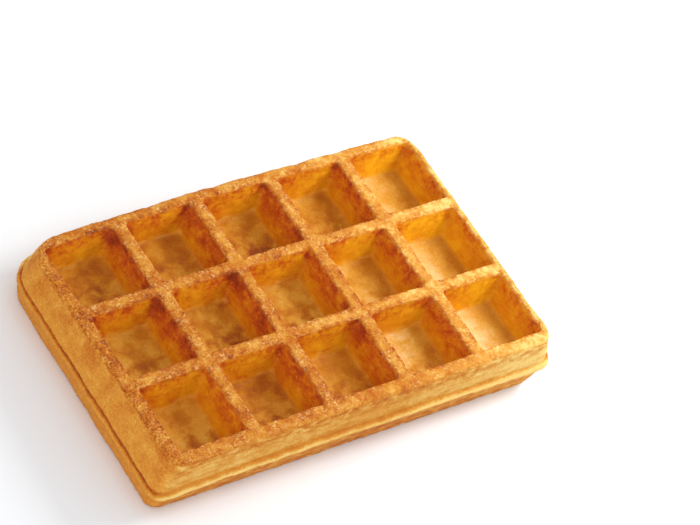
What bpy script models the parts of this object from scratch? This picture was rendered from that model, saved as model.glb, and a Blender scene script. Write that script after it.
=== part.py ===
"""A rectangular Belgian waffle, lying on its underside.

One baked body, 176.8 x 109.5 x 26 mm, with a grid of square pockets in both of its
faces. Halfway up its side runs the seam where the two plates of the iron met: a
groove, and under it a rounded lip that stands out past both faces.

Metres, +Z up. The origin is the centre of the footprint, on the resting plane, and
the long side runs along X.
"""

from math import cos, pi, radians, sin

import bmesh
import bpy

# The whole waffle, measured over the lip
LENGTH = 0.1768
WIDTH = 0.1095
THICKNESS = 0.026

# The grid of pockets
COLUMNS = 5
ROWS = 3
PITCH = 0.033
GRID_CENTRE = (0.0014, 0.00015)
POCKET_HALF_X = 0.0139
POCKET_HALF_Y = 0.0141
POCKET_CORNER = 0.0020
TOP_POCKET_DEPTH = 0.0120
UNDER_POCKET_DEPTH = 0.0102
WALL_DRAFT = 0.0032
FLOOR_FILLET = 0.0016
RIB_ROUND = 0.0006

# How far each outline lies within the lip's, on the left, right, near and far side
TOP_OUTLINE = (0.0045, 0.0042, 0.0024, 0.0031)
GROOVE_OUTLINE = (0.0008, 0.0012, 0.0018, 0.0014)
LIP_OUTLINE = (0.0, 0.0, 0.0, 0.0)
UNDER_OUTLINE = (0.0032, 0.0034, 0.0029, 0.0031)
CORNER_RADIUS = 0.0070
RIM_ROUND = 0.0020
SEAM_HEIGHT = 0.0130
GROOVE_DEPTH = 0.0007
GROOVE_HALF = 0.0006
LIP_RADIUS = 0.0013

# The crust settled unevenly: the far left corner is the thinnest
CORNER_SAG = 0.0045
SAG_POWER = 1.5
SWELL = 0.0003
SWELL_LENGTH = 0.060

# Points along one side of a cell; a pocket's ring has as many, so the two join up.
# Along the outer cells they crowd towards the waffle's corners, to round them.
SIDE_STEPS = 5
CORNER_CROWDING = 1.6
RIB_ROUND_STEPS = 2
FILLET_STEPS = 2
RIM_ROUND_STEPS = 2
LIP_STEPS = 4

CRUST_COLOUR = (0.76, 0.39, 0.11, 1.0)
CRUST_ROUGHNESS = 0.65


def quarter_round(radius, steps):
    """(inset, drop) pairs along a rounded edge, from the flat face to the wall."""
    angles = [pi / 2 * step / steps for step in range(steps + 1)]
    return [(radius * (1 - sin(angle)), radius * (1 - cos(angle))) for angle in angles]


def floor_fillet(depth):
    """(inset, drop) pairs along the hollow between a pocket's wall and its floor."""
    angles = [pi / 2 * step / FILLET_STEPS for step in range(FILLET_STEPS + 1)]
    return [
        (-WALL_DRAFT - FLOOR_FILLET * (1 - cos(angle)), depth - FLOOR_FILLET * (1 - sin(angle)))
        for angle in angles
    ]


def cell_steps(column, row):
    """Lattice steps around one cell, anticlockwise from its low corner."""
    i, j = column * SIDE_STEPS, row * SIDE_STEPS
    side = range(SIDE_STEPS)
    return (
        [(i + step, j) for step in side]
        + [(i + SIDE_STEPS, j + step) for step in side]
        + [(i + SIDE_STEPS - step, j + SIDE_STEPS) for step in side]
        + [(i, j + SIDE_STEPS - step) for step in side]
    )


def perimeter_steps():
    """Lattice steps around the whole face, anticlockwise from its low corner."""
    last_i, last_j = COLUMNS * SIDE_STEPS, ROWS * SIDE_STEPS
    return (
        [(i, 0) for i in range(last_i)]
        + [(last_i, j) for j in range(last_j)]
        + [(i, last_j) for i in range(last_i, 0, -1)]
        + [(0, j) for j in range(last_j, 0, -1)]
    )


def outline_box(outline, inset):
    """Low and high corners of an outline, drawn in by a further inset all round."""
    left, right, near, far = outline
    low = (-LENGTH / 2 + left + inset, -WIDTH / 2 + near + inset)
    high = (LENGTH / 2 - right - inset, WIDTH / 2 - far - inset)
    return low, high


def lattice_line(step, cells, centre, low, high):
    """Place of a lattice step along one axis: the middles of ribs, and the two ends."""
    first = centre - PITCH * (cells / 2 - 1)
    last = centre + PITCH * (cells / 2 - 1)
    if step < SIDE_STEPS:
        return low + (first - low) * (step / SIDE_STEPS) ** CORNER_CROWDING
    if step > (cells - 1) * SIDE_STEPS:
        share = cells - step / SIDE_STEPS
        return high + (last - high) * share**CORNER_CROWDING
    return first + PITCH * (step / SIDE_STEPS - 1)


def round_corner(x, y, low, high):
    """Pull a point of the outline in to the rounded corner that it belongs to."""
    arc_x = min(max(x, low[0] + CORNER_RADIUS), high[0] - CORNER_RADIUS)
    arc_y = min(max(y, low[1] + CORNER_RADIUS), high[1] - CORNER_RADIUS)
    away_x, away_y = x - arc_x, y - arc_y
    reach = (away_x**2 + away_y**2) ** 0.5
    if reach <= CORNER_RADIUS:
        return x, y
    scale = CORNER_RADIUS / reach
    return arc_x + away_x * scale, arc_y + away_y * scale


def lattice_place(step, outline, inset):
    """Plan position of a lattice step, within the given outline."""
    low, high = outline_box(outline, inset)
    x = lattice_line(step[0], COLUMNS, GRID_CENTRE[0], low[0], high[0])
    y = lattice_line(step[1], ROWS, GRID_CENTRE[1], low[1], high[1])
    return round_corner(x, y, low, high)


def pocket_ring(bm, centre, half_x, half_y, corner, z):
    """Vertices of a rounded rectangle, anticlockwise from the middle of its low corner."""
    straight = SIDE_STEPS - 2
    diagonal = corner * (1 - cos(pi / 4))
    places = []
    for turn in range(4):
        along, across = (half_x, half_y) if turn % 2 == 0 else (half_y, half_x)
        side = [(-along + diagonal, -across + diagonal)]
        for step in range(straight + 1):
            share = step / straight
            side.append(((along - corner) * (2 * share - 1), -across))
        quarter = turn * pi / 2
        for x, y in side:
            turned_x = x * cos(quarter) - y * sin(quarter)
            turned_y = x * sin(quarter) + y * cos(quarter)
            places.append((centre[0] + turned_x, centre[1] + turned_y, z))
    return [bm.verts.new(place) for place in places]


def join_rings(bm, outer, inner):
    """A band of quads between two closed rings of as many vertices."""
    count = len(outer)
    for index in range(count):
        after = (index + 1) % count
        bm.faces.new((outer[index], outer[after], inner[after], inner[index]))


def sink_pocket(bm, edge_ring, centre, face_z, inward, depth):
    """One pocket, from the cell's edge over the rounded rib down to its floor.

    inward is -1 where the pocket goes down from the top, 1 where it goes up.
    """
    levels = quarter_round(RIB_ROUND, RIB_ROUND_STEPS) + floor_fillet(depth)
    outer = edge_ring
    for inset, drop in levels:
        ring = pocket_ring(
            bm,
            centre,
            POCKET_HALF_X + inset,
            POCKET_HALF_Y + inset,
            POCKET_CORNER,
            face_z + inward * drop,
        )
        join_rings(bm, outer, ring)
        outer = ring
    bm.faces.new(outer)


def add_face(bm, outline, face_z, inward, depth):
    """One face of the waffle with all its pockets. Returns the ring around it."""
    lattice = {}
    for column in range(COLUMNS):
        for row in range(ROWS):
            for step in cell_steps(column, row):
                if step not in lattice:
                    x, y = lattice_place(step, outline, RIM_ROUND)
                    lattice[step] = bm.verts.new((x, y, face_z))
            centre = (
                GRID_CENTRE[0] + PITCH * (column - (COLUMNS - 1) / 2),
                GRID_CENTRE[1] + PITCH * (row - (ROWS - 1) / 2),
            )
            edge_ring = [lattice[step] for step in cell_steps(column, row)]
            sink_pocket(bm, edge_ring, centre, face_z, inward, depth)
    return [lattice[step] for step in perimeter_steps()]


def side_levels():
    """(outline, inset, z) of every ring between the two faces, from the top down."""
    rim = quarter_round(RIM_ROUND, RIM_ROUND_STEPS)[1:]
    groove_z = SEAM_HEIGHT + GROOVE_HALF
    lip_z = SEAM_HEIGHT - LIP_RADIUS
    levels = [(TOP_OUTLINE, inset, THICKNESS - drop) for inset, drop in rim]
    levels.append((GROOVE_OUTLINE, 0, groove_z + 2 * GROOVE_HALF))
    levels.append((GROOVE_OUTLINE, GROOVE_DEPTH / 2, groove_z + GROOVE_HALF))
    levels.append((GROOVE_OUTLINE, GROOVE_DEPTH, groove_z))
    for step in range(LIP_STEPS + 1):
        angle = pi * step / LIP_STEPS
        inset = LIP_RADIUS * (1 - sin(angle)) / 2
        levels.append((LIP_OUTLINE, inset, lip_z + LIP_RADIUS * cos(angle)))
    levels += [(UNDER_OUTLINE, inset, drop) for inset, drop in reversed(rim)]
    return levels


def add_side(bm, top_ring, under_ring):
    """The side: rounded rim, flank, groove, lip, and the flank down to the underside."""
    outer = top_ring
    for outline, inset, z in side_levels():
        places = [lattice_place(step, outline, inset) for step in perimeter_steps()]
        ring = [bm.verts.new((x, y, z)) for x, y in places]
        join_rings(bm, outer, ring)
        outer = ring
    join_rings(bm, outer, under_ring)


def sunk_by(x, y):
    """How far the top lies below the full thickness at a place in plan."""
    left = max(0.0, -x / (LENGTH / 2))
    far = max(0.0, 0.5 + y / WIDTH)
    wave = sin(2 * pi * (x + 0.4 * y) / SWELL_LENGTH) * cos(2 * pi * y / SWELL_LENGTH)
    return CORNER_SAG * (left * far) ** SAG_POWER + SWELL * (1 + wave)


def settle(bm):
    """Thin the waffle where its crust sank; the underside stays flat."""
    for vert in bm.verts:
        vert.co.z *= 1 - sunk_by(vert.co.x, vert.co.y) / THICKNESS


def crust_material():
    material = bpy.data.materials.new("crust")
    material.use_nodes = True
    shader = material.node_tree.nodes["Principled BSDF"]
    shader.inputs["Base Color"].default_value = CRUST_COLOUR
    shader.inputs["Roughness"].default_value = CRUST_ROUGHNESS
    shader.inputs["Metallic"].default_value = 0.0
    material.diffuse_color = CRUST_COLOUR
    return material


def build_waffle():
    bm = bmesh.new()
    top_ring = add_face(bm, TOP_OUTLINE, THICKNESS, -1, TOP_POCKET_DEPTH)
    under_ring = add_face(bm, UNDER_OUTLINE, 0.0, 1, UNDER_POCKET_DEPTH)
    add_side(bm, top_ring, under_ring)
    settle(bm)
    bmesh.ops.recalc_face_normals(bm, faces=bm.faces)
    mesh = bpy.data.meshes.new("waffle")
    bm.to_mesh(mesh)
    bm.free()
    mesh.shade_smooth()
    mesh.set_sharp_from_angle(angle=radians(50))
    waffle = bpy.data.objects.new("waffle", mesh)
    waffle.data.materials.append(crust_material())
    bpy.context.scene.collection.objects.link(waffle)
    return waffle


for leftover in list(bpy.data.objects):
    bpy.data.objects.remove(leftover)

build_waffle()
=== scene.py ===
import random
from contextlib import contextmanager
from math import cos, pi, radians, sin

import bmesh
import bpy
import numpy as np
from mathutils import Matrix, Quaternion, Vector


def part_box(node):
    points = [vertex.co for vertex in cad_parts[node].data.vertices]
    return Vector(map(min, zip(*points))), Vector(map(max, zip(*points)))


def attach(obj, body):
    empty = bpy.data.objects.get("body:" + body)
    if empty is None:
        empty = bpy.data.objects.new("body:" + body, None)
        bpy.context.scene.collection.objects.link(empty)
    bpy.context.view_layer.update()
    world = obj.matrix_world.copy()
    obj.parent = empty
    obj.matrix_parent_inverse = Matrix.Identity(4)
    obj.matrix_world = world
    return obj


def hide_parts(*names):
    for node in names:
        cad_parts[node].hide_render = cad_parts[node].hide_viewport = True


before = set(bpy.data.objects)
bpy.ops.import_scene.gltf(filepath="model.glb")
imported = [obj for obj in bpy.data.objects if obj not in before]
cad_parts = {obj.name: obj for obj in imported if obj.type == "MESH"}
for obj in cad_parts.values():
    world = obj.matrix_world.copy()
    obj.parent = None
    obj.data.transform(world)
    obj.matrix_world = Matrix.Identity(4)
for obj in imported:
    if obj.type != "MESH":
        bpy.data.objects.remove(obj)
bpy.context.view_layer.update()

# ---------------------------------------------------------------- sizes
# All in metres. The waffle's box comes from the frame; the rest is the iron's mould.
LOW, HIGH = (Vector(corner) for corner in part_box("waffle"))
SIZE = HIGH - LOW
CENTRE = (LOW + HIGH) / 2
TOP = HIGH.z
MM = 0.001

COLUMNS = 5
ROWS = 3
PITCH = 33 * MM
GRID_CENTRE = (CENTRE.x + 1.4 * MM, CENTRE.y + 0.15 * MM)
POCKET_HALF = (14.05 * MM, 14.2 * MM)
POCKET_CORNER = 1.0 * MM
POCKET_SEGMENTS = 4
TOP_DEPTH = 12.1 * MM
UNDER_DEPTH = 10.2 * MM
WALL_DRAFT = 3.4 * MM
FLOOR_FILLET = 1.0 * MM
FILLET_SHARE = 0.35          # part of the fillet that counts towards the floor's inset
RIB_ROUND = 0.35 * MM
RIB_FLARE = 1.3              # how far a stud flares past the face, in rib rounds
CLEAR_OF_FACE = 1.0 * MM     # how far a stud stands out past the face, for a clean cut

# Each stud is a little off its place, by up to so many millimetres
UNEVEN_SEED = 7
STUD_SHIFT_MM = 0.2
STUD_SINK_MM = (-0.1, 0.3)

# How far each outline lies within the lip's, on the left, right, near and far side
TOP_OUTLINE = (4.5 * MM, 4.2 * MM, 2.4 * MM, 3.1 * MM)
GROOVE_OUTLINE = (0.8 * MM, 1.2 * MM, 1.9 * MM, 1.4 * MM)
LIP_OUTLINE = (0.0, 0.0, 0.0, 0.0)
UNDER_OUTLINE = (2.5 * MM, 3.4 * MM, 2.5 * MM, 3.1 * MM)
CORNER_RADII = {(-1, -1): 5.0 * MM, (1, -1): 6.5 * MM, (-1, 1): 12.0 * MM, (1, 1): 8.0 * MM}
CORNER_SEGMENTS = 6
RIM_ROUND = 1.3 * MM
ROUND_STEPS = 3
SEAM_HEIGHT = 13.0 * MM
GROOVE_DEPTH = 0.45 * MM
GROOVE_HALF = 0.4 * MM
GROOVE_STEPS = ((1.8, 0.0), (0.8, 0.4), (0.0, 1.0))   # height in groove halves, share of depth
LIP_RADIUS = 1.3 * MM
LIP_STEPS = 5
LIP_BULGE = 0.5              # how far the lip swells out, in lip radii

# The crust settled unevenly: the far left corner is thin, the seam dips at the near left one
CORNER_SAG = 5.0 * MM
SAG_POWER = 1.5
SEAM_DIP = 2.4 * MM
SEAM_DIP_START = 0.45        # share of the way from the middle to the left end
SEAM_DIP_END = 0.9           # share of the way from the near side to the far one
# At the far left corner the seam is drawn in and the foot spreads
SEAM_DRAWN_IN = 2.0 * MM
FOOT_SPREAD = 1.2 * MM
CAGE_POINTS = (9, 7, 3)
CAGE_MARGIN = 1.04

MESH_GRAIN = 0.48 * MM       # the finest detail of the crust's shape
TRIANGLE_BUDGET = 194_000
HAIR = 0.01 * MM             # two places closer than this are the same

# Where each look of the crust begins and ends
RIB_FADE = (0.9 * MM, 0.15 * MM)         # drop below a face
SIDE_FADE = (0.3 * MM, 1.4 * MM)         # drop below a face
POCKET_FADE = (1.0 * MM, 0.1 * MM)       # distance outside a pocket's opening
END_FADE = (3 * MM, -3 * MM)             # how much nearer a long side is than an end
RIB_EDGE = (0.45 * MM, 0.5 * MM)         # middle and width, outside a pocket's opening
RIB_EDGE_FADE = (2 * MM, 1 * MM)         # drop below a face
# where the painted highlight lies, along the floor's edge
FOLD = (0.90, 0.035)                     # middle and width, in pocket depths
FOLD_FADE = (0.6, 0.7)                   # from a pocket's middle to its near or far wall
# where the seam's darker line lies: partly browner crust, partly painted shade in the groove
SEAM_LINE = (SEAM_HEIGHT + GROOVE_HALF, 0.5 * MM)
# where the painted highlight along the lip lies
LIP_HIGHLIGHT = (SEAM_HEIGHT - 0.7 * MM, 0.7 * MM)
# Picked out of 60,000 seeds for how its draw spreads the toast over the pockets
TOAST_SEED = 50963

# How rough the crust is: size of the bumps, octaves of noise and height
WAVES = (9 * MM, 2, 0.75 * MM)
BLISTERS = (4.0 * MM, 2, 0.50 * MM)
CRUMB = (1.1 * MM, 3, 0.8 * MM)
PORES = (1.5 * MM, 2, 0.28 * MM)
CREASES = (2.4 * MM, 2, 0.24 * MM)
CREASE_STRETCH = (6, 6, 1)
CRUMB_SHARE = 0.55           # of the rib tops' crumb, away from the left rim
LEFT_RIM_CRUMB = 0.9         # what the left rim has on top of that
LEFT_RIM = (-76 * MM, -79 * MM)          # along X
LEFT_WALL = (-0.9, -1.0)                 # from a pocket's middle to its left wall
WEIGHT_LEVELS = 16
SMOOTHING = 0.4


# ---------------------------------------------------------------- edit-mode tools
@contextmanager
def editing(piece):
    """Edit mode on one piece, with nothing else selected."""
    bpy.ops.object.select_all(action="DESELECT")
    piece.select_set(True)
    bpy.context.view_layer.objects.active = piece
    bpy.ops.object.mode_set(mode="EDIT")
    yield piece
    bpy.ops.object.mode_set(mode="OBJECT")


def pick(piece, kind, wanted):
    """Select the piece's VERT, EDGE or FACE elements that wanted() accepts."""
    bpy.ops.mesh.select_mode(type=kind)
    bpy.ops.mesh.select_all(action="DESELECT")
    mesh = bmesh.from_edit_mesh(piece.data)
    mesh.normal_update()
    for element in {"VERT": mesh.verts, "EDGE": mesh.edges, "FACE": mesh.faces}[kind]:
        element.select_set(wanted(element))
    mesh.select_flush_mode()
    bmesh.update_edit_mesh(piece.data)


def apply_modifier(piece, kind, **settings):
    """Add one modifier, set it up and apply it."""
    with bpy.context.temp_override(object=piece, active_object=piece):
        modifier = piece.modifiers.new(kind.lower(), kind)
        for name, value in settings.items():
            setattr(modifier, name, value)
        bpy.ops.object.modifier_apply(modifier=modifier.name)


def duplicate(piece, name, offset):
    """A copy of a piece, with its own mesh, moved by offset."""
    copy = piece.copy()
    copy.data = piece.data.copy()
    copy.name = name
    copy.location = offset
    bpy.context.scene.collection.objects.link(copy)
    return copy


def quarter_round(radius, steps):
    """(inset, drop) pairs along a rounded edge, from the flat face to the wall."""
    angles = [pi / 2 * step / steps for step in range(steps + 1)]
    return [(radius * (1 - sin(angle)), radius * (1 - cos(angle))) for angle in angles]


# ---------------------------------------------------------------- the moulded shape
def side_levels():
    """(z, outline, inset) of the side's rings, from the top down."""
    rim = quarter_round(RIM_ROUND, ROUND_STEPS)
    groove = SEAM_HEIGHT + GROOVE_HALF
    levels = [(TOP - drop, TOP_OUTLINE, inset) for inset, drop in rim]
    levels += [
        (groove + halves * GROOVE_HALF, GROOVE_OUTLINE, GROOVE_DEPTH * share)
        for halves, share in GROOVE_STEPS
    ]
    lip_centre = SEAM_HEIGHT - LIP_RADIUS
    for step in range(LIP_STEPS + 1):
        angle = pi * step / LIP_STEPS
        inset = LIP_RADIUS * (1 - sin(angle)) * LIP_BULGE
        levels.append((lip_centre + LIP_RADIUS * cos(angle), LIP_OUTLINE, inset))
    levels += [(drop, UNDER_OUTLINE, inset) for inset, drop in reversed(rim)]
    return levels


def outline_fit(outline, inset):
    """Scale and fixed point that bring the lip's outline in to another outline."""
    left, right, near, far = (distance + inset for distance in outline)
    scales, fixed = [], []
    for axis, (low_in, high_in) in enumerate(((left, right), (near, far))):
        taken = low_in + high_in
        scales.append(1 - taken / SIZE[axis])
        share = low_in / taken if taken else 0.5
        fixed.append(LOW[axis] + share * SIZE[axis])
    return scales, fixed


def pour_slab():
    """The waffle without pockets: rounded corners, and a side with its seam and lip."""
    bpy.ops.object.select_all(action="DESELECT")
    bpy.ops.mesh.primitive_cube_add(size=1, location=CENTRE, scale=SIZE)
    slab = bpy.context.active_object
    slab.name = "waffle_crust"
    bpy.ops.object.transform_apply(location=True, rotation=False, scale=True)
    with editing(slab):
        for (side_x, side_y), radius in CORNER_RADII.items():
            corner = (CENTRE.x + side_x * SIZE.x / 2, CENTRE.y + side_y * SIZE.y / 2)
            pick(slab, "EDGE", lambda edge: all(
                abs(vert.co.x - corner[0]) + abs(vert.co.y - corner[1]) < HAIR
                for vert in edge.verts
            ))
            bpy.ops.mesh.bevel(offset=radius, segments=CORNER_SEGMENTS, affect="EDGES")
        for z, _, _ in side_levels():
            if LOW.z + HAIR < z < TOP - HAIR:
                bpy.ops.mesh.select_all(action="SELECT")
                bpy.ops.mesh.bisect(plane_co=(0, 0, z), plane_no=(0, 0, 1))
        for z, outline, inset in side_levels():
            scales, fixed = outline_fit(outline, inset)
            pick(slab, "VERT", lambda vert: abs(vert.co.z - z) < HAIR)
            bpy.ops.transform.resize(
                value=(scales[0], scales[1], 1), center_override=(fixed[0], fixed[1], z)
            )
    return slab


def cast_stud(depth):
    """One stud of the iron, standing down from z = 0: it presses a pocket of this depth."""
    half_x, half_y = POCKET_HALF
    bpy.ops.object.select_all(action="DESELECT")
    bpy.ops.mesh.primitive_cube_add(
        size=1,
        location=(0, 0, -(depth + RIB_ROUND) / 2),
        scale=(2 * half_x, 2 * half_y, depth - RIB_ROUND),
    )
    stud = bpy.context.active_object
    bpy.ops.object.transform_apply(location=True, rotation=False, scale=True)
    with editing(stud):
        pick(stud, "FACE", lambda face: face.normal.z < -0.9)
        taper = WALL_DRAFT + FLOOR_FILLET * FILLET_SHARE
        bpy.ops.transform.resize(
            value=(1 - taper / half_x, 1 - taper / half_y, 1), center_override=(0, 0, -depth)
        )
        pick(stud, "EDGE", lambda edge: abs(edge.verts[0].co.z - edge.verts[1].co.z) > depth / 2)
        bpy.ops.mesh.bevel(offset=POCKET_CORNER, segments=POCKET_SEGMENTS, affect="EDGES")
        pick(stud, "EDGE", lambda edge: max(vert.co.z for vert in edge.verts) < HAIR - depth)
        bpy.ops.mesh.bevel(offset=FLOOR_FILLET, segments=POCKET_SEGMENTS, affect="EDGES")
        pick(stud, "FACE", lambda face: face.normal.z > 0.9)
        flare = list(reversed(quarter_round(RIB_ROUND, ROUND_STEPS)))
        reached = (0.0, RIB_ROUND)
        for inset, drop in flare[1:] + [(RIB_ROUND * RIB_FLARE, -CLEAR_OF_FACE)]:
            wide = [(half + inset) / (half + reached[0]) for half in POCKET_HALF]
            bpy.ops.mesh.extrude_region_move(
                TRANSFORM_OT_translate={"value": (0, 0, reached[1] - drop)}
            )
            bpy.ops.transform.resize(
                value=(wide[0], wide[1], 1), center_override=(0, 0, -drop)
            )
            reached = (inset, drop)
    return stud


def press_pockets(slab):
    """Press the iron's studs into both faces, each a little uneven."""
    uneven = random.Random(UNEVEN_SEED)
    studs = []
    for facing, face_z, depth in ((1, TOP, TOP_DEPTH), (-1, LOW.z, UNDER_DEPTH)):
        stud = cast_stud(depth)
        if facing < 0:
            with editing(stud):
                bpy.ops.mesh.select_all(action="SELECT")
                bpy.ops.transform.resize(value=(1, 1, -1), center_override=(0, 0, 0))
                bpy.ops.mesh.normals_make_consistent(inside=False)
        for column in range(COLUMNS):
            for row in range(ROWS):
                grid_x = GRID_CENTRE[0] + PITCH * (column - (COLUMNS - 1) / 2)
                grid_y = GRID_CENTRE[1] + PITCH * (row - (ROWS - 1) / 2)
                place = (
                    grid_x + uneven.uniform(-STUD_SHIFT_MM, STUD_SHIFT_MM) * MM,
                    grid_y + uneven.uniform(-STUD_SHIFT_MM, STUD_SHIFT_MM) * MM,
                    face_z + facing * uneven.uniform(*STUD_SINK_MM) * MM,
                )
                studs.append(duplicate(stud, f"stud_{facing}_{column}_{row}", place))
        bpy.data.objects.remove(stud)
    bpy.ops.object.select_all(action="DESELECT")
    for stud in studs:
        stud.select_set(True)
    bpy.context.view_layer.objects.active = studs[0]
    bpy.ops.object.join()
    iron = bpy.context.active_object
    apply_modifier(slab, "BOOLEAN", operation="DIFFERENCE", object=iron, solver="EXACT")
    bpy.data.objects.remove(iron)


# ---------------------------------------------------------------- where the crust is
def smooth_step(values, start, end):
    share = np.clip((values - start) / (end - start), 0, 1)
    return share * share * (3 - 2 * share)


def bell(values, middle, width):
    """1 at the middle, fading to both sides."""
    return np.exp(-(((values - middle) / width) ** 2))


def mesh_places(mesh):
    places = np.empty(len(mesh.vertices) * 3)
    mesh.vertices.foreach_get("co", places)
    return places.reshape(-1, 3)


def mark_crust(waffle):
    """Point attributes that tell ribs, pockets and side apart, from the places in the mould."""
    mesh = waffle.data
    x, y, z = mesh_places(mesh).T
    column = np.clip(np.round((x - GRID_CENTRE[0]) / PITCH), -(COLUMNS // 2), COLUMNS // 2)
    row = np.clip(np.round((y - GRID_CENTRE[1]) / PITCH), -(ROWS // 2), ROWS // 2)
    across = (x - GRID_CENTRE[0] - column * PITCH) / POCKET_HALF[0]
    along = (y - GRID_CENTRE[1] - row * PITCH) / POCKET_HALF[1]
    opening = np.maximum(
        np.abs(across) * POCKET_HALF[0] - POCKET_HALF[0],
        np.abs(along) * POCKET_HALF[1] - POCKET_HALF[1],
    )
    drop = np.minimum(TOP - z, z - LOW.z)
    in_pocket = smooth_step(opening, *POCKET_FADE)
    outside = 1 - in_pocket
    depth = np.where(z > CENTRE.z, TOP_DEPTH, UNDER_DEPTH)
    from_end = np.minimum(x - LOW.x, HIGH.x - x)
    from_edge = np.minimum(y - LOW.y, HIGH.y - y)
    toast = np.random.default_rng(TOAST_SEED).uniform(0, 1, (2, COLUMNS, ROWS))
    cell = (
        (z > CENTRE.z).astype(int),
        (column + COLUMNS // 2).astype(int),
        (row + ROWS // 2).astype(int),
    )
    marks = {
        "rib": smooth_step(drop, *RIB_FADE),
        "in_pocket": in_pocket,
        "pocket_depth": np.clip(drop / depth, 0, 1) * in_pocket,
        "pocket_across": np.clip(across, -1, 1),
        "pocket_along": np.clip(along, -1, 1),
        "pocket_toast": toast[cell],
        "fold": bell(drop / depth, *FOLD) * in_pocket * smooth_step(np.abs(along), *FOLD_FADE),
        "side": smooth_step(drop, *SIDE_FADE) * outside,
        "end": smooth_step(from_end - from_edge, *END_FADE),
        "rib_edge": bell(opening, *RIB_EDGE) * smooth_step(drop, *RIB_EDGE_FADE),
        "seam": bell(z, *SEAM_LINE) * outside,
        "lip": bell(z, *LIP_HIGHLIGHT) * outside,
        "height": np.clip(z / TOP, 0, 1),
    }
    for name, values in marks.items():
        attribute = mesh.attributes.new(name, "FLOAT", "POINT")
        attribute.data.foreach_set("value", values.astype(np.float32))
    return marks


def weight_group(piece, name, weights):
    """A vertex group from an array of weights, in a few levels."""
    group = piece.vertex_groups.new(name=name)
    levels = np.round(np.clip(weights, 0, 1) * WEIGHT_LEVELS).astype(int)
    for level in range(1, WEIGHT_LEVELS + 1):
        members = np.nonzero(levels == level)[0].tolist()
        if members:
            group.add(members, level / WEIGHT_LEVELS, "REPLACE")
    return group.name


def roughen(waffle, name, relief, group="", **settings):
    """Push the crust in and out by one cloud texture, by default along its normals."""
    size, octaves, height = relief
    texture = bpy.data.textures.new(name, "CLOUDS")
    texture.noise_scale = size
    texture.noise_depth = octaves
    texture.cloud_type = "COLOR" if settings.get("direction") == "RGB_TO_XYZ" else "GRAYSCALE"
    settings = {"texture_coords": "LOCAL", "direction": "NORMAL", **settings}
    apply_modifier(
        waffle, "DISPLACE", texture=texture, strength=height, mid_level=0.5, vertex_group=group,
        **settings,
    )


def bake_relief(waffle, marks):
    """The baked surface: wavy edges, blisters, crumbly rib tops and creases along the sides."""
    x = mesh_places(waffle.data)[:, 0]
    left_rim = smooth_step(marks["pocket_across"], *LEFT_WALL) * smooth_step(x, *LEFT_RIM)
    crumbly = marks["rib"] * (CRUMB_SHARE + LEFT_RIM_CRUMB * left_rim)
    ribs = weight_group(waffle, "rib_tops", crumbly)
    sides = weight_group(waffle, "sides", marks["side"] * (1 - marks["end"]))
    roughen(waffle, "wavy", WAVES, direction="RGB_TO_XYZ")
    roughen(waffle, "blisters", BLISTERS)
    roughen(waffle, "crumb", CRUMB, ribs)
    roughen(waffle, "pores", PORES)
    bpy.ops.object.empty_add(location=CENTRE)
    stretch = bpy.context.active_object
    stretch.scale = CREASE_STRETCH
    roughen(
        waffle, "creases", CREASES, sides, texture_coords="OBJECT", texture_coords_object=stretch
    )
    bpy.data.objects.remove(stretch)


def sag(waffle):
    """Sink the far left corner and dip the seam at the near left one; the underside stays flat."""
    bpy.ops.object.select_all(action="DESELECT")
    bpy.ops.object.add(type="LATTICE", location=CENTRE)
    cage = bpy.context.active_object
    cage.scale = SIZE * CAGE_MARGIN
    cage.data.points_u, cage.data.points_v, cage.data.points_w = CAGE_POINTS
    cage.data.interpolation_type_u = "KEY_CATMULL_ROM"
    cage.data.interpolation_type_v = "KEY_CATMULL_ROM"
    cage.data.interpolation_type_w = "KEY_LINEAR"
    bpy.context.view_layer.update()
    # the cage has three levels: at the foot, the seam and the top
    for point in cage.data.points:
        place = cage.matrix_world @ point.co
        lift = (place.z - LOW.z) / SIZE.z
        left = max(0.0, -place.x / (SIZE.x / 2))
        far = max(0.0, 0.5 + place.y / SIZE.y)
        at_seam, at_foot = 0.25 < lift < 0.75, lift < 0.25
        sunk = CORNER_SAG * (left * far) ** SAG_POWER * max(0.0, lift)
        if at_seam:
            leftwards = max(0.0, left - SEAM_DIP_START) / (1 - SEAM_DIP_START)
            sunk += SEAM_DIP * leftwards * max(0.0, SEAM_DIP_END - far) / SEAM_DIP_END
        point.co_deform.z -= sunk / cage.scale.z
        if place.x < LOW.x and place.y > HIGH.y and (at_seam or at_foot):
            inwards = SEAM_DRAWN_IN if at_seam else -FOOT_SPREAD
            point.co_deform.x += inwards / cage.scale.x
            point.co_deform.y -= inwards / cage.scale.y
    apply_modifier(waffle, "LATTICE", object=cage)
    bpy.data.objects.remove(cage)


def rest_on_ground(waffle):
    """Lift what sank below the ground up to it."""
    mesh = waffle.data
    places = mesh_places(mesh)
    places[:, 2] = np.maximum(places[:, 2], LOW.z)
    mesh.vertices.foreach_set("co", places.ravel())
    mesh.update()


def bake_waffle():
    waffle = pour_slab()
    press_pockets(waffle)
    apply_modifier(waffle, "REMESH", mode="VOXEL", voxel_size=MESH_GRAIN)
    apply_modifier(waffle, "SMOOTH", factor=SMOOTHING, iterations=1)
    bake_relief(waffle, mark_crust(waffle))
    sag(waffle)
    waffle.vertex_groups.clear()
    rest_on_ground(waffle)
    triangles = sum(len(polygon.vertices) - 2 for polygon in waffle.data.polygons)
    if triangles > TRIANGLE_BUDGET:
        share = TRIANGLE_BUDGET / triangles
        apply_modifier(waffle, "DECIMATE", ratio=share, use_collapse_triangulate=True)
        rest_on_ground(waffle)
    waffle.data.shade_smooth()
    return waffle


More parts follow.
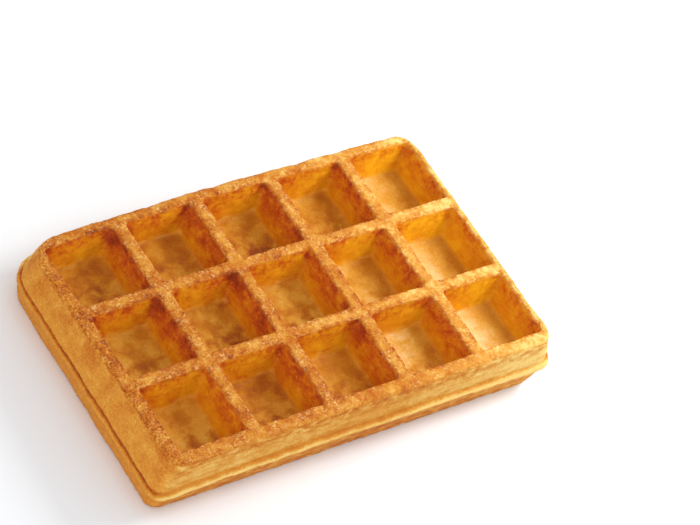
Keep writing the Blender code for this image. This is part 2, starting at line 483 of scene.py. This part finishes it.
# ---------------------------------------------------------------- materials
class Wiring:
    """Shorthands for wiring nodes in one tree."""

    def __init__(self, tree):
        self.tree = tree

    def node(self, kind, **settings):
        node = self.tree.nodes.new(kind)
        for name, value in settings.items():
            setattr(node, name, value)
        return node

    def feed(self, socket, value):
        if isinstance(value, bpy.types.NodeSocket):
            self.tree.links.new(value, socket)
        else:
            socket.default_value = value

    def math(self, operation, *values):
        node = self.node("ShaderNodeMath", operation=operation)
        for socket, value in zip(node.inputs, values):
            self.feed(socket, value)
        return node.outputs[0]

    def times(self, *values):
        product = values[0]
        for value in values[1:]:
            product = self.math("MULTIPLY", product, value)
        return product

    def total(self, *values):
        result = values[0]
        for value in values[1:]:
            result = self.math("ADD", result, value)
        return result

    def remap(self, value, low, high, to_low=0.0, to_high=1.0):
        node = self.node("ShaderNodeMapRange", clamp=True)
        labels = ("Value", "From Min", "From Max", "To Min", "To Max")
        for label, number in zip(labels, (value, low, high, to_low, to_high)):
            self.feed(node.inputs[label], number)
        return node.outputs["Result"]

    def noise(self, vector, size, detail=2.0, roughness=0.5, distortion=0.0):
        node = self.node("ShaderNodeTexNoise")
        self.feed(node.inputs["Vector"], vector)
        node.inputs["Scale"].default_value = 1 / size
        node.inputs["Detail"].default_value = detail
        node.inputs["Roughness"].default_value = roughness
        node.inputs["Distortion"].default_value = distortion
        return node.outputs["Fac"]

    def drawn_out(self, vector, flat, upright):
        """Places for a texture that is drawn out sideways or upright."""
        node = self.node("ShaderNodeMapping")
        node.inputs["Scale"].default_value = (flat, flat, upright)
        self.feed(node.inputs["Vector"], vector)
        return node.outputs["Vector"]

    def mix(self, share, first, second):
        """A colour between two others."""
        node = self.node("ShaderNodeMix", data_type="RGBA")
        for index, value in ((0, share), (6, first), (7, second)):
            self.feed(node.inputs[index], value)
        return node.outputs[2]

    def blend(self, share, first, second):
        """A number between two others."""
        node = self.node("ShaderNodeMix", data_type="FLOAT")
        for index, value in ((0, share), (2, first), (3, second)):
            self.feed(node.inputs[index], value)
        return node.outputs[0]

    def attribute(self, name):
        return self.node("ShaderNodeAttribute", attribute_name=name).outputs["Fac"]

    def ramp(self, value, stops):
        node = self.node("ShaderNodeValToRGB")
        ramp = node.color_ramp
        while len(ramp.elements) < len(stops):
            ramp.elements.new(0.5)
        for element, (place, colour) in zip(ramp.elements, stops):
            element.position = place
            element.color = (*colour, 1.0)
        self.feed(node.inputs["Fac"], value)
        return node.outputs["Color"]


# Dry crust of ribs and sides, and the crust of the pockets' walls and floors, pale to burnt
DRY_CRUST = [
    (0.0, (0.88, 0.60, 0.180)),
    (0.3, (0.69, 0.300, 0.037)),
    (0.6, (0.53, 0.150, 0.010)),
    (0.8, (0.42, 0.095, 0.007)),
    (1.0, (0.22, 0.040, 0.005)),
]
WALL_CRUST = [
    (0.0, (0.86, 0.44, 0.010)),
    (0.22, (0.75, 0.32, 0.008)),
    (0.42, (0.66, 0.225, 0.006)),
    (0.60, (0.56, 0.120, 0.006)),
    (0.78, (0.42, 0.060, 0.007)),
    (1.0, (0.24, 0.030, 0.005)),
]
FLOOR_CRUST = [
    (0.0, (0.90, 0.67, 0.31)),
    (0.3, (0.73, 0.36, 0.038)),
    (0.55, (0.57, 0.205, 0.009)),
    (0.8, (0.42, 0.110, 0.006)),
    (1.0, (0.26, 0.045, 0.005)),
]
# colour of the painted highlight where the walls meet the floor
FOLD_GLINT = (0.86, 0.52, 0.12, 1.0)
# pale crumb on the ribs, with painted glints
CRUMB_GLINTS = (0.92, 0.62, 0.25, 1.0)
PALE_FLOOR = (0.885, 0.905, 0.93, 1.0)

# How brown each place is before its patches and specks: 0 pale, 1 nearly burnt
WALL_BASE = 0.34
FLOOR_BASE = 0.50
RIB_BASE = 0.48
LONG_SIDE_BASE = 0.22
END_BASE = 0.36
# darker along the seam's groove: partly browner crust, partly painted shade in the crease
SEAM_SHADE_AND_BROWNING = (0.26, 0.60)     # on the long sides, and on the ends

DRY_ROUGHNESS = 0.72
POCKET_ROUGHNESS = 0.5
CRUST_SPECULAR = 0.16
GRAIN = 0.6 * MM
GRAIN_STRENGTH = 0.6
GRAIN_HEIGHT = 0.5 * MM
POCKET_GRAIN = 0.45              # the grain in the pockets, against that outside
FLOOR_ROUGHNESS = 0.6


def wall_bake_and_shading(wire, place, along_x, along_y):
    """How brown a pocket's wall is, with painted shade, glints and glow mixed in. Grainy under the
    rim, paler below.
    """
    depth = wire.attribute("pocket_depth")
    across = wire.attribute("pocket_across")
    along = wire.attribute("pocket_along")
    cross_wall = wire.remap(wire.math("ABSOLUTE", across), 0.66, 0.86)
    patches = wire.noise(place, 8 * MM, 3, 0.55, 0.6)
    smudges = wire.noise(place, 3.2 * MM, 3, 0.6, 0.4)
    specks = wire.noise(place, 1.2 * MM, 3, 0.6)
    streaks = wire.noise(wire.drawn_out(place, 0.35, 1.0), 1.5 * MM, 3, 0.6, 0.5)
    near_rim = wire.remap(depth, 0.60, 0.04)
    # the near left pockets' walls less dark than the others, in their browning and in their
    # painted shade
    near_row = wire.remap(along_y, -19 * MM, -14 * MM, 0.35, 1.0)
    heat = wire.blend(wire.remap(along_x, -45 * MM, 0.0), near_row, 1.0)
    # darker towards each pocket's far right corner: partly toast, partly painted shade from the
    # shaded right wall
    hot_shaded_corner = wire.times(
        wire.remap(across, 0.1, 0.9),
        wire.remap(along, 0.4, 0.9),
        wire.remap(along_x, -20 * MM, 40 * MM, 1.0, 0.1),
        heat,
    )
    return wire.total(
        WALL_BASE,
        wire.times(near_rim, wire.remap(smudges, 0.40, 0.62, 0.02, 0.34)),
        # the walls across X browner in their upper half: partly toast, partly painted shade
        wire.times(cross_wall, wire.remap(depth, 1.0, 0.5, 0.12, 0.27), heat),
        wire.times(hot_shaded_corner, wire.remap(patches, 0.35, 0.6, 0.02, 0.20)),
        wire.remap(patches, 0.3, 0.7, -0.14, 0.14),
        wire.times(
            wire.remap(specks, 0.35, 0.65, -0.11, 0.11), wire.remap(depth, 0.9, 0.1, 0.35, 1.0)
        ),
        wire.remap(streaks, 0.33, 0.67, -0.10, 0.10),
        # painted glints: small pale specks on the walls across X
        wire.times(cross_wall, wire.remap(specks, 0.56, 0.66, 0.0, -0.24)),
        # paler towards the right end: partly paler crust, partly painted light from the lamp on
        # the right
        wire.remap(along_x, -10 * MM, 40 * MM, 0.0, -0.08),
        # the right column's walls paler still: partly paler crust, partly a painted glow of light
        # through the thin right rim
        wire.remap(along_x, 46 * MM, 78 * MM, 0.0, -0.18),
    )


def floor_bake_and_shading(wire, place, along_x):
    """How brown a pocket's floor is: toasted patches, more in some pockets, and a painted shadow
    on each floor's right part; paler towards the right end, partly painted light.
    """
    toast = wire.attribute("pocket_toast")
    patches = wire.noise(place, 6 * MM, 3, 0.55, 0.2)
    smudges = wire.noise(place, 9 * MM, 2, 0.5, 0.2)
    specks = wire.noise(place, 0.9 * MM, 2, 0.6)
    across = wire.attribute("pocket_across")
    along = wire.attribute("pocket_along")
    # the more toasted a pocket is, the more of it the patches cover
    threshold = wire.math("SUBTRACT", 0.60, wire.times(toast, 0.12))
    covered = wire.math("SUBTRACT", patches, threshold)
    return wire.total(
        FLOOR_BASE,
        wire.remap(toast, 0.0, 1.0, -0.10, 0.10),
        wire.times(
            wire.remap(covered, -0.14, 0.10, -0.06, 0.20),
            wire.remap(along_x, 5 * MM, 60 * MM, 1.0, 0.25),
        ),
        wire.times(
            wire.remap(along, 0.1, -0.7),
            wire.remap(patches, 0.44, 0.60, -0.04, 0.30),
            wire.remap(along_x, 20 * MM, 60 * MM, 1.0, 0.2),
        ),
        wire.remap(smudges, 0.3, 0.7, -0.10, 0.08),
        wire.remap(specks, 0.35, 0.65, -0.05, 0.05),
        # painted shadow: each floor darker towards its right wall and paler towards its left, more
        # so towards the right end
        wire.times(across, wire.remap(along_x, 0.0, 60 * MM, 0.06, 0.34)),
        wire.remap(along_x, -70 * MM, -40 * MM, -0.05, 0.0),
        # paler towards the right end: partly paler crust, partly painted light from the lamp on
        # the right
        wire.remap(along_x, -10 * MM, 70 * MM, 0.0, -0.22),
    )


def rib_bake_and_shading(wire, place, along_x):
    """How brown the rib tops are; their crumb is speckled and their edges catch more heat. Paler
    towards the right end, partly painted light.
    """
    edge = wire.attribute("rib_edge")
    patches = wire.noise(place, 9 * MM, 2, 0.5, 0.4)
    blots = wire.noise(place, 2.6 * MM, 3, 0.6, 0.3)
    specks = wire.noise(place, 0.8 * MM, 3, 0.65)
    left_rim = wire.remap(along_x, -76 * MM, -80 * MM)
    speckled = wire.total(
        wire.remap(along_x, -74 * MM, 60 * MM, 1.2, 0.6), wire.times(left_rim, 0.9)
    )
    return wire.total(
        RIB_BASE,
        wire.remap(patches, 0.3, 0.7, -0.17, 0.17),
        wire.remap(blots, 0.32, 0.68, -0.15, 0.15),
        wire.times(wire.remap(specks, 0.36, 0.64, -0.12, 0.12), speckled),
        wire.times(edge, wire.remap(blots, 0.40, 0.58, 0.0, 0.26)),
        wire.times(left_rim, 0.07),
        # paler towards the right end: partly paler crust, partly painted light from the lamp on
        # the right
        wire.remap(along_x, -60 * MM, 20 * MM, 0.04, -0.04),
        wire.remap(along_x, 20 * MM, 82 * MM, 0.0, -0.26),
    )


def side_bake_and_shading(wire, place, along_x):
    """How brown the side is: long pale streaks, grainy ends, browner under the rim and the lip, a
    painted highlight along the lip, and paler towards the right end, partly painted light.
    """
    end = wire.attribute("end")
    height = wire.attribute("height")
    streaks = wire.noise(wire.drawn_out(place, 0.14, 1.0), 2.4 * MM, 3, 0.55, 0.6)
    specks = wire.noise(place, 0.8 * MM, 3, 0.65)
    blots = wire.noise(wire.drawn_out(place, 0.6, 1.0), 2.6 * MM, 3, 0.6, 0.3)
    patches = wire.noise(place, 10 * MM, 2, 0.5, 0.4)
    under_rim = wire.remap(height, 0.70, 0.96)
    under_lip = wire.remap(height, 0.42, 0.35)
    long_side = wire.total(
        LONG_SIDE_BASE,
        wire.remap(streaks, 0.35, 0.65, -0.07, 0.07),
        wire.remap(blots, 0.35, 0.65, -0.07, 0.07),
        # painted highlight: a pale line along the lip
        wire.times(wire.attribute("lip"), -0.24),
        wire.remap(specks, 0.35, 0.65, -0.07, 0.07),
        wire.times(under_rim, wire.remap(blots, 0.38, 0.60, 0.0, 0.34)),
        wire.times(under_lip, wire.remap(blots, 0.36, 0.60, 0.08, 0.34)),
        wire.remap(along_x, -40 * MM, 0.0, 0.0, 0.08),
        # paler towards the right end: partly paler crust, partly painted light from the lamp on
        # the right
        wire.times(
            wire.remap(along_x, 10 * MM, 84 * MM, 0.0, -0.30),
            wire.remap(height, 0.33, 0.45, 0.4, 1.0),
        ),
    )
    end_side = wire.total(
        END_BASE,
        wire.remap(specks, 0.35, 0.65, -0.10, 0.10),
        wire.remap(blots, 0.35, 0.65, -0.06, 0.06),
        wire.times(wire.remap(patches, 0.40, 0.62), wire.remap(height, 0.55, 0.95), 0.26),
        wire.remap(height, 0.48, 0.40, 0.0, 0.08),
        # the right end paler: partly paler crust, partly painted light on the side facing the lamp
        wire.remap(along_x, 40 * MM, 86 * MM, 0.0, -0.16),
    )
    return wire.blend(end, long_side, end_side)


def crust_material():
    material = bpy.data.materials.new("baked_crust")
    material.use_nodes = True
    wire = Wiring(material.node_tree)
    shader = material.node_tree.nodes["Principled BSDF"]
    place = wire.node("ShaderNodeTexCoord").outputs["Object"]
    axes = wire.node("ShaderNodeSeparateXYZ")
    wire.feed(axes.inputs["Vector"], place)
    along_x = axes.outputs["X"]
    along_y = axes.outputs["Y"]
    rib = wire.attribute("rib")
    in_pocket = wire.attribute("in_pocket")
    side = wire.attribute("side")
    seam = wire.attribute("seam")
    end = wire.attribute("end")

    floor = wire.remap(wire.attribute("pocket_depth"), 0.90, 0.99)
    walls = wire.ramp(wall_bake_and_shading(wire, place, along_x, along_y), WALL_CRUST)
    floors = wire.ramp(floor_bake_and_shading(wire, place, along_x), FLOOR_CRUST)
    pockets = wire.mix(floor, walls, floors)
    dry = wire.blend(side, rib_bake_and_shading(wire, place, along_x), side_bake_and_shading(wire, place, along_x))
    # darker along the seam's groove: partly browner crust, partly painted shade in the crease
    dry = wire.total(dry, wire.times(seam, side, wire.blend(end, *SEAM_SHADE_AND_BROWNING)))
    outside = wire.ramp(dry, DRY_CRUST)
    inner = wire.times(in_pocket, wire.math("SUBTRACT", 1.0, rib))
    colour = wire.mix(inner, outside, pockets)
    # a painted highlight: a pale broken line where the far and near walls meet the floor
    broken = wire.remap(wire.noise(place, 6 * MM, 2), 0.42, 0.58)
    fold = wire.times(wire.attribute("fold"), broken, 0.45)
    colour = wire.mix(fold, colour, FOLD_GLINT)
    # pale dry crumb on the ribs, with painted glints
    grains = wire.noise(place, 0.9 * MM, 3, 0.65)
    clusters = wire.noise(place, 4 * MM, 2, 0.5)
    crumb_glints = wire.times(
        wire.remap(grains, 0.52, 0.68),
        wire.remap(clusters, 0.40, 0.60),
        rib,
        wire.remap(along_x, -81 * MM, -76 * MM, 0.45, 0.80),
    )
    colour = wire.mix(crumb_glints, colour, CRUMB_GLINTS)
    wire.feed(shader.inputs["Base Color"], colour)
    roughness = wire.blend(inner, DRY_ROUGHNESS, POCKET_ROUGHNESS)
    wire.feed(shader.inputs["Roughness"], roughness)
    shader.inputs["Specular IOR Level"].default_value = CRUST_SPECULAR

    grain = wire.noise(place, GRAIN, 3, 0.65)
    bump = wire.node("ShaderNodeBump")
    bump.inputs["Strength"].default_value = GRAIN_STRENGTH
    bump.inputs["Distance"].default_value = GRAIN_HEIGHT
    wire.feed(bump.inputs["Height"], wire.times(grain, wire.blend(inner, 1.0, POCKET_GRAIN)))
    wire.feed(shader.inputs["Normal"], bump.outputs["Normal"])
    return material


def floor_material():
    material = bpy.data.materials.new("pale_floor")
    material.use_nodes = True
    shader = material.node_tree.nodes["Principled BSDF"]
    shader.inputs["Base Color"].default_value = PALE_FLOOR
    shader.inputs["Roughness"].default_value = FLOOR_ROUGHNESS
    return material


# ---------------------------------------------------------------- the stage
FLOOR_SIZE = 6.0
AIM = Vector((0.0359, 0.0114, 0.013))
AZIMUTH = radians(52.93)
ELEVATION = radians(46.16)
ROLL = radians(26.84)
DISTANCE = 1.1042
LENS = 154.3
SENSOR = 36
DAYLIGHT = 0.82
# name, place, size and power of each lamp
LAMPS = (
    ("key", (0.30, -0.04, 0.25), 0.15, 1.12),
    ("fill", (-0.55, -0.25, 0.22), 0.40, 0.85),
)


def lay_floor():
    bpy.ops.object.select_all(action="DESELECT")
    bpy.ops.mesh.primitive_plane_add(size=FLOOR_SIZE, location=(0, 0, 0))
    floor = bpy.context.active_object
    floor.name = "floor"
    floor.data.materials.append(floor_material())


def look_from(aim, azimuth, elevation, distance, roll):
    """Place and rotation of a camera that looks at aim; azimuth is towards -X from -Y."""
    back = Vector((
        -sin(azimuth) * cos(elevation),
        -cos(azimuth) * cos(elevation),
        sin(elevation),
    ))
    facing = (-back).to_track_quat("-Z", "Y")
    return aim + back * distance, facing @ Quaternion((0, 0, 1), roll)


def set_camera():
    camera = bpy.data.objects.new("camera", bpy.data.cameras.new("camera"))
    bpy.context.scene.collection.objects.link(camera)
    place, facing = look_from(AIM, AZIMUTH, ELEVATION, DISTANCE, ROLL)
    camera.location = place
    camera.rotation_mode = "QUATERNION"
    camera.rotation_quaternion = facing
    camera.data.lens = LENS
    camera.data.sensor_width = SENSOR
    bpy.context.scene.camera = camera


def soft_light(name, place, size, power):
    light = bpy.data.lights.new(name, "AREA")
    light.shape = "SQUARE"
    light.size = size
    light.energy = power
    lamp = bpy.data.objects.new(name, light)
    lamp.location = place
    lamp.rotation_euler = (CENTRE - Vector(place)).to_track_quat("-Z", "Y").to_euler()
    bpy.context.scene.collection.objects.link(lamp)


def set_light():
    scene = bpy.context.scene
    world = bpy.data.worlds.new("studio")
    scene.world = world
    world.use_nodes = True
    background = world.node_tree.nodes["Background"]
    background.inputs["Color"].default_value = (1.0, 1.0, 1.0, 1.0)
    background.inputs["Strength"].default_value = DAYLIGHT
    for lamp in LAMPS:
        soft_light(*lamp)
    scene.view_settings.view_transform = "Standard"


waffle = bake_waffle()
waffle.data.materials.clear()
waffle.data.materials.append(crust_material())
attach(waffle, "root")
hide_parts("waffle")

lay_floor()
set_camera()
set_light()
